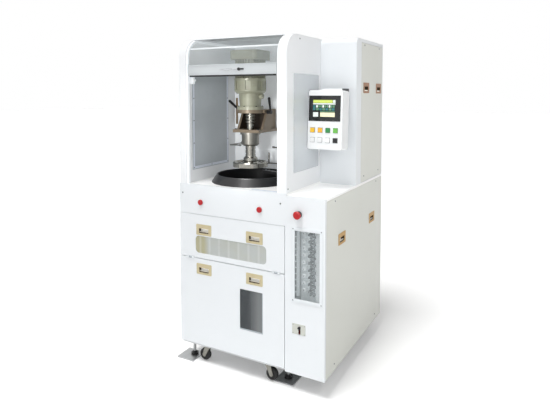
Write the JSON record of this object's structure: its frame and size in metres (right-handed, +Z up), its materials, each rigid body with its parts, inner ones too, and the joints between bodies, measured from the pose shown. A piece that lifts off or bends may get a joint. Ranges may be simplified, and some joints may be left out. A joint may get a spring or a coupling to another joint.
{
  "type": "metallographic polishing machine",
  "caption": "Floor-standing polishing machine: enclosed spindle head over a rotating platen and bowl, lifting clear door, control box, cabinet with doors.",
  "frame": {"origin": "on the floor under the middle of the machine's overall outline", "axes": "+Z up, the front with the doors and the sliding door faces -Y, +X to the operator's right"},
  "size_m": [0.9126, 0.935, 1.812],
  "materials": {
    "white_enamel": "satin powder coat",
    "frame_paint": "satin powder coat",
    "pale_gold": "satin anodised",
    "deck_white": "semi-gloss enamel",
    "black_moulding": "semi-gloss moulded",
    "stainless": "turned and brushed",
    "tank_plastic": "natural translucent",
    "drive_grey": "hammered paint",
    "clear_sheet": "clear polycarbonate",
    "frosted_sheet": "frosted",
    "smoked_sheet": "smoked",
    "bar_aluminium": "white coated",
    "bracket_tan": "anodised",
    "motor_cream": "enamel",
    "black_plastic": "moulded",
    "pipe_steel": "satin",
    "box_white": "fine texture",
    "screen_black": "gloss",
    "key_yellow": "lit",
    "key_amber": "lit",
    "key_green": "lit",
    "key_lime": "lit",
    "key_white": "lit",
    "key_black": "gloss",
    "valve_white": "moulded",
    "button_red": "gloss",
    "foot_steel": "zinc plated",
    "caster_rubber": "moulded",
    "cover_enamel": "satin powder coat"
  },
  "bodies": {
    "root": {"main_frame": "frame_paint", "front_fascia": "white_enamel", "fascia_trim": "white_enamel", "outer_covers": "cover_enamel", "side_pulls": "pale_gold", "deck_plate": "deck_white", "splash_ring": "black_moulding", "drain_basin": "stainless", "waste_tank": "tank_plastic", "platen_drive": "drive_grey", "enclosure_walls": "white_enamel", "enclosure_roof": "white_enamel", "back_wall": "white_enamel", "fixed_windows": "clear_sheet", "door_tracks": "white_enamel", "tower_shell": "white_enamel", "lift_guide": "frame_paint", "rinse_nozzles": "pipe_steel", "control_box": "box_white", "control_screen": "screen_black", "valve_bank": "valve_white", "levelling_feet": "foot_steel"},
    "door": {"door_bar": "bar_aluminium", "door_curtain": "clear_sheet"},
    "door_latch": {"door_latch": "black_plastic"},
    "head": {"head_bracket": "bracket_tan", "spindle_motor": "motor_cream", "bearing_housing": "stainless"},
    "spindle": {"spindle_shaft": "stainless", "carrier_head": "stainless"},
    "lever_left": {"clamp_lever_left": "black_plastic"},
    "lever_right": {"clamp_lever_right": "black_plastic"},
    "platen": {"platen": "stainless"},
    "slurry_arm": {"slurry_arm": "black_plastic"},
    "upper_panel": {"upper_panel": "white_enamel", "upper_panel_window": "frosted_sheet", "upper_panel_pulls": "pale_gold"},
    "lower_door": {"lower_door": "white_enamel", "lower_door_window": "smoked_sheet", "lower_door_pulls": "pale_gold"},
    "start_left": {"start_button_left": "button_red"},
    "start_right": {"start_button_right": "button_red"},
    "estop": {"estop_head": "button_red"},
    "breaker_toggle": {"breaker_toggle": "black_plastic"},
    "key_1": {"key_1": "key_yellow"},
    "key_2": {"key_2": "key_amber"},
    "key_3": {"key_3": "key_green"},
    "key_4": {"key_4": "key_lime"},
    "key_5": {"key_5": "key_white"},
    "key_6": {"key_6": "key_white"},
    "key_7": {"key_7": "key_white"},
    "key_8": {"key_8": "key_black"},
    "fork_1": {"caster_fork_1": "foot_steel"},
    "wheel_1": {"caster_wheel_1": "caster_rubber"},
    "fork_2": {"caster_fork_2": "foot_steel"},
    "wheel_2": {"caster_wheel_2": "caster_rubber"},
    "fork_3": {"caster_fork_3": "foot_steel"},
    "wheel_3": {"caster_wheel_3": "caster_rubber"},
    "fork_4": {"caster_fork_4": "foot_steel"},
    "wheel_4": {"caster_wheel_4": "caster_rubber"}
  },
  "joints": [
    {"name": "door_slide", "type": "slide", "parent": "root", "child": "door", "axis": [0, 0, 1], "range_m": [-0.587, 0], "deforming": ["door_curtain"]},
    {"name": "latch_turn", "type": "hinge", "parent": "door", "child": "door_latch", "pos_m": [-0.03425, -0.4375, 1.634], "axis": [0, 1, 0], "range_deg": [0, 90]},
    {"name": "head_lift", "type": "slide", "parent": "root", "child": "head", "axis": [0, 0, 1], "range_m": [-0.11, 0]},
    {"name": "spindle_spin", "type": "hinge", "parent": "head", "child": "spindle", "pos_m": [-0.14825, -0.1345, 1.2], "axis": [0, 0, 1], "continuous": true},
    {"name": "lever_left_turn", "type": "hinge", "parent": "head", "child": "lever_left", "pos_m": [-0.23625, -0.0875, 1.4], "axis": [1, 0, 0], "range_deg": [-60, 60]},
    {"name": "lever_right_turn", "type": "hinge", "parent": "head", "child": "lever_right", "pos_m": [-0.06125, -0.0875, 1.4], "axis": [1, 0, 0], "range_deg": [-60, 60]},
    {"name": "platen_spin", "type": "hinge", "parent": "root", "child": "platen", "pos_m": [-0.11125, -0.1735, 0.95], "axis": [0, 0, 1], "continuous": true},
    {"name": "slurry_arm_swing", "type": "hinge", "parent": "root", "child": "slurry_arm", "pos_m": [0.14875, -0.2225, 1.04], "axis": [0, 0, 1], "range_deg": [-70, 0]},
    {"name": "upper_panel_tilt", "type": "hinge", "parent": "root", "child": "upper_panel", "pos_m": [-0.09625, -0.4385, 0.6], "axis": [1, 0, 0], "range_deg": [0, 90]},
    {"name": "lower_door_tilt", "type": "hinge", "parent": "root", "child": "lower_door", "pos_m": [-0.09625, -0.4345, 0.115], "axis": [1, 0, 0], "range_deg": [0, 25]},
    {"name": "start_left_press", "type": "slide", "parent": "root", "child": "start_left", "axis": [0, 1, 0], "range_m": [0, 0.004], "stiffness_N_per_m": 700, "springref_m": -0.003},
    {"name": "start_right_press", "type": "slide", "parent": "root", "child": "start_right", "axis": [0, 1, 0], "range_m": [0, 0.004], "stiffness_N_per_m": 700, "springref_m": -0.003},
    {"name": "estop_press", "type": "slide", "parent": "root", "child": "estop", "axis": [0, 1, 0], "range_m": [0, 0.005]},
    {"name": "key_1_press", "type": "slide", "parent": "root", "child": "key_1", "axis": [0, 0.998, -0.0628], "range_m": [0, 0.003], "stiffness_N_per_m": 500, "springref_m": -0.002},
    {"name": "key_2_press", "type": "slide", "parent": "root", "child": "key_2", "axis": [0, 0.998, -0.0628], "range_m": [0, 0.003], "stiffness_N_per_m": 500, "springref_m": -0.002},
    {"name": "key_3_press", "type": "slide", "parent": "root", "child": "key_3", "axis": [0, 0.998, -0.0628], "range_m": [0, 0.003], "stiffness_N_per_m": 500, "springref_m": -0.002},
    {"name": "key_4_press", "type": "slide", "parent": "root", "child": "key_4", "axis": [0, 0.998, -0.0628], "range_m": [0, 0.003], "stiffness_N_per_m": 500, "springref_m": -0.002},
    {"name": "key_5_press", "type": "slide", "parent": "root", "child": "key_5", "axis": [0, 0.998, -0.0628], "range_m": [0, 0.003], "stiffness_N_per_m": 500, "springref_m": -0.002},
    {"name": "key_6_press", "type": "slide", "parent": "root", "child": "key_6", "axis": [0, 0.998, -0.0628], "range_m": [0, 0.003], "stiffness_N_per_m": 500, "springref_m": -0.002},
    {"name": "key_7_press", "type": "slide", "parent": "root", "child": "key_7", "axis": [0, 0.998, -0.0628], "range_m": [0, 0.003], "stiffness_N_per_m": 500, "springref_m": -0.002},
    {"name": "key_8_press", "type": "slide", "parent": "root", "child": "key_8", "axis": [0, 0.998, -0.0628], "range_m": [0, 0.003], "stiffness_N_per_m": 500, "springref_m": -0.002},
    {"name": "breaker_switch", "type": "hinge", "parent": "root", "child": "breaker_toggle", "pos_m": [0.31875, -0.4275, 0.33], "axis": [1, 0, 0], "range_deg": [0, 76]},
    {"name": "caster_1_swivel", "type": "hinge", "parent": "root", "child": "fork_1", "pos_m": [-0.27125, -0.3905, 0.09], "axis": [0, 0, 1], "continuous": true},
    {"name": "caster_1_roll", "type": "hinge", "parent": "fork_1", "child": "wheel_1", "pos_m": [-0.29125, -0.3905, 0.0405], "axis": [0, 1, 0], "continuous": true},
    {"name": "caster_2_swivel", "type": "hinge", "parent": "root", "child": "fork_2", "pos_m": [0.11875, -0.3905, 0.09], "axis": [0, 0, 1], "continuous": true},
    {"name": "caster_2_roll", "type": "hinge", "parent": "fork_2", "child": "wheel_2", "pos_m": [0.13875, -0.3905, 0.0405], "axis": [0, 1, 0], "continuous": true},
    {"name": "caster_3_swivel", "type": "hinge", "parent": "root", "child": "fork_3", "pos_m": [-0.27125, 0.4205, 0.09], "axis": [0, 0, 1], "continuous": true},
    {"name": "caster_3_roll", "type": "hinge", "parent": "fork_3", "child": "wheel_3", "pos_m": [-0.29125, 0.4205, 0.0405], "axis": [0, 1, 0], "continuous": true},
    {"name": "caster_4_swivel", "type": "hinge", "parent": "root", "child": "fork_4", "pos_m": [0.11875, 0.4205, 0.09], "axis": [0, 0, 1], "continuous": true},
    {"name": "caster_4_roll", "type": "hinge", "parent": "fork_4", "child": "wheel_4", "pos_m": [0.13875, 0.4205, 0.0405], "axis": [0, 1, 0], "continuous": true}
  ]
}
